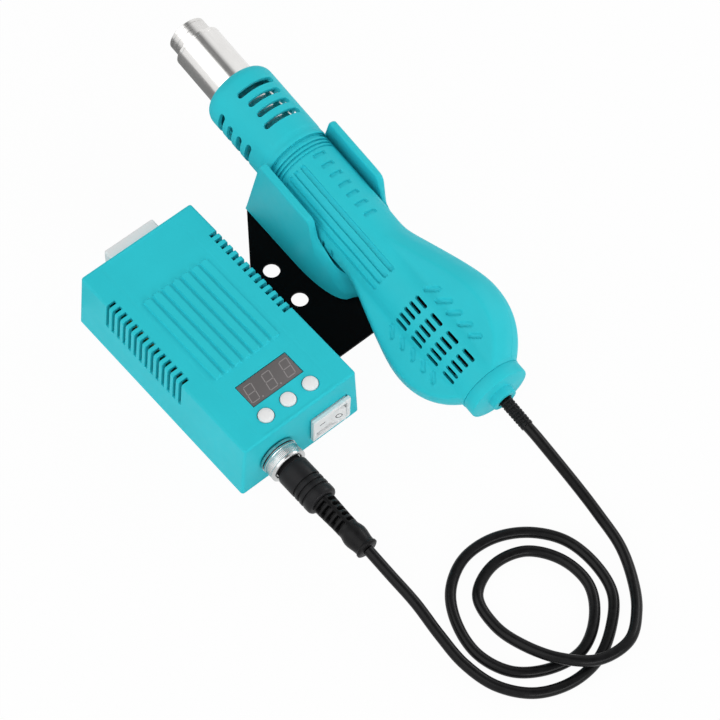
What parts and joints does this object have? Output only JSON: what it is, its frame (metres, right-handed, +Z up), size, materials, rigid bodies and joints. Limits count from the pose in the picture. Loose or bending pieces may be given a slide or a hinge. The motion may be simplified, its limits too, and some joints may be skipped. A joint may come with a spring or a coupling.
{
  "type": "hot air rework station",
  "caption": "Compact hot-air rework station: teal control box with display, buttons and rocker, a hot-air handset resting in its cradle, and the cable between them.",
  "frame": {"origin": "centre of the control box's flat underside, on the bench", "axes": "+Y along the control box towards its mains inlet and along the handset towards its nozzle, +Z up"},
  "size_m": [0.1338, 0.3371, 0.0529],
  "materials": {
    "teal_plastic": "satin",
    "white_plastic": "satin",
    "black_plastic": "matt",
    "black_rubber": "matt",
    "nozzle_steel": "brushed",
    "plated_steel": "satin",
    "fastener_steel": "plain",
    "bracket_steel": "matt",
    "board": "satin",
    "smoked_lens": "gloss",
    "transformer_tape": "satin",
    "capacitor_sleeve": "gloss",
    "heatsink_aluminium": "satin",
    "ceramic": "matt",
    "heater_wire": "oxidised"
  },
  "bodies": {
    "controller": {"bracket": "bracket_steel", "capacitor": "capacitor_sleeve", "case_base": "black_plastic", "case_cover": "teal_plastic", "case_screw_1": "fastener_steel", "case_screw_2": "fastener_steel", "case_screw_3": "fastener_steel", "case_screw_4": "fastener_steel", "control_board": "board", "cord": "black_rubber", "cradle": "teal_plastic", "cradle_magnet": "plated_steel", "cradle_screw_1": "fastener_steel", "cradle_screw_2": "fastener_steel", "display_lens": "smoked_lens", "display_module": "white_plastic", "fuse": "smoked_lens", "heatsink": "heatsink_aluminium", "inlet_pin_earth": "fastener_steel", "inlet_pin_live": "fastener_steel", "inlet_pin_neutral": "fastener_steel", "inlet_socket": "white_plastic", "plug_body": "black_plastic", "plug_boot": "black_rubber", "power_board": "board", "rocker_frame": "white_plastic", "socket": "plated_steel", "socket_nut": "fastener_steel", "tact_switch_1": "black_plastic", "tact_switch_2": "black_plastic", "tact_switch_3": "black_plastic", "transformer": "transformer_tape", "triac": "black_plastic"},
    "button_left": {"button_1": "white_plastic"},
    "button_middle": {"button_2": "white_plastic"},
    "button_right": {"button_3": "white_plastic"},
    "mains_rocker": {"rocker": "white_plastic"},
    "plug_ring": {"lock_ring": "plated_steel"},
    "handset": {"handle_upper": "teal_plastic", "handle_lower": "teal_plastic", "handle_screw_1": "fastener_steel", "handle_screw_2": "fastener_steel", "handle_screw_3": "fastener_steel", "handle_screw_4": "fastener_steel", "tail_cap": "teal_plastic", "strain_relief": "black_rubber", "nozzle_guard": "teal_plastic", "outer_tube": "nozzle_steel", "inner_sleeve": "nozzle_steel", "heater_flange": "nozzle_steel", "heater_core": "ceramic", "heater_coil": "heater_wire", "thermocouple": "nozzle_steel", "blower_scroll": "black_plastic", "blower_motor": "fastener_steel", "reed_switch": "smoked_lens"},
    "impeller": {"fan_rotor": "black_plastic"}
  },
  "joints": [
    {"name": "button_left_press", "type": "slide", "parent": "controller", "child": "button_left", "axis": [0, 0, -1], "range_m": [0, 0.0008], "stiffness_N_per_m": 400},
    {"name": "button_middle_press", "type": "slide", "parent": "controller", "child": "button_middle", "axis": [0, 0, -1], "range_m": [0, 0.0008], "stiffness_N_per_m": 400},
    {"name": "button_right_press", "type": "slide", "parent": "controller", "child": "button_right", "axis": [0, 0, -1], "range_m": [0, 0.0008], "stiffness_N_per_m": 400},
    {"name": "mains_rocker_tilt", "type": "hinge", "parent": "controller", "child": "mains_rocker", "pos_m": [0.015, -0.0553, 0.0137], "axis": [0, 0, 1], "range_deg": [0, 20]},
    {"name": "plug_ring_turn", "type": "hinge", "parent": "controller", "child": "plug_ring", "pos_m": [-0.0135, -0.0609, 0.0145], "axis": [0, 1, 0], "continuous": true},
    {"name": "handset_lift", "type": "slide", "parent": "controller", "child": "handset", "axis": [0, 0, 1], "range_m": [0, 0.06]},
    {"name": "impeller_spin", "type": "hinge", "parent": "handset", "child": "impeller", "pos_m": [0.07522, -0.06167, 0.02556], "axis": [-0.6644, -0.0247, 0.7469], "continuous": true}
  ]
}
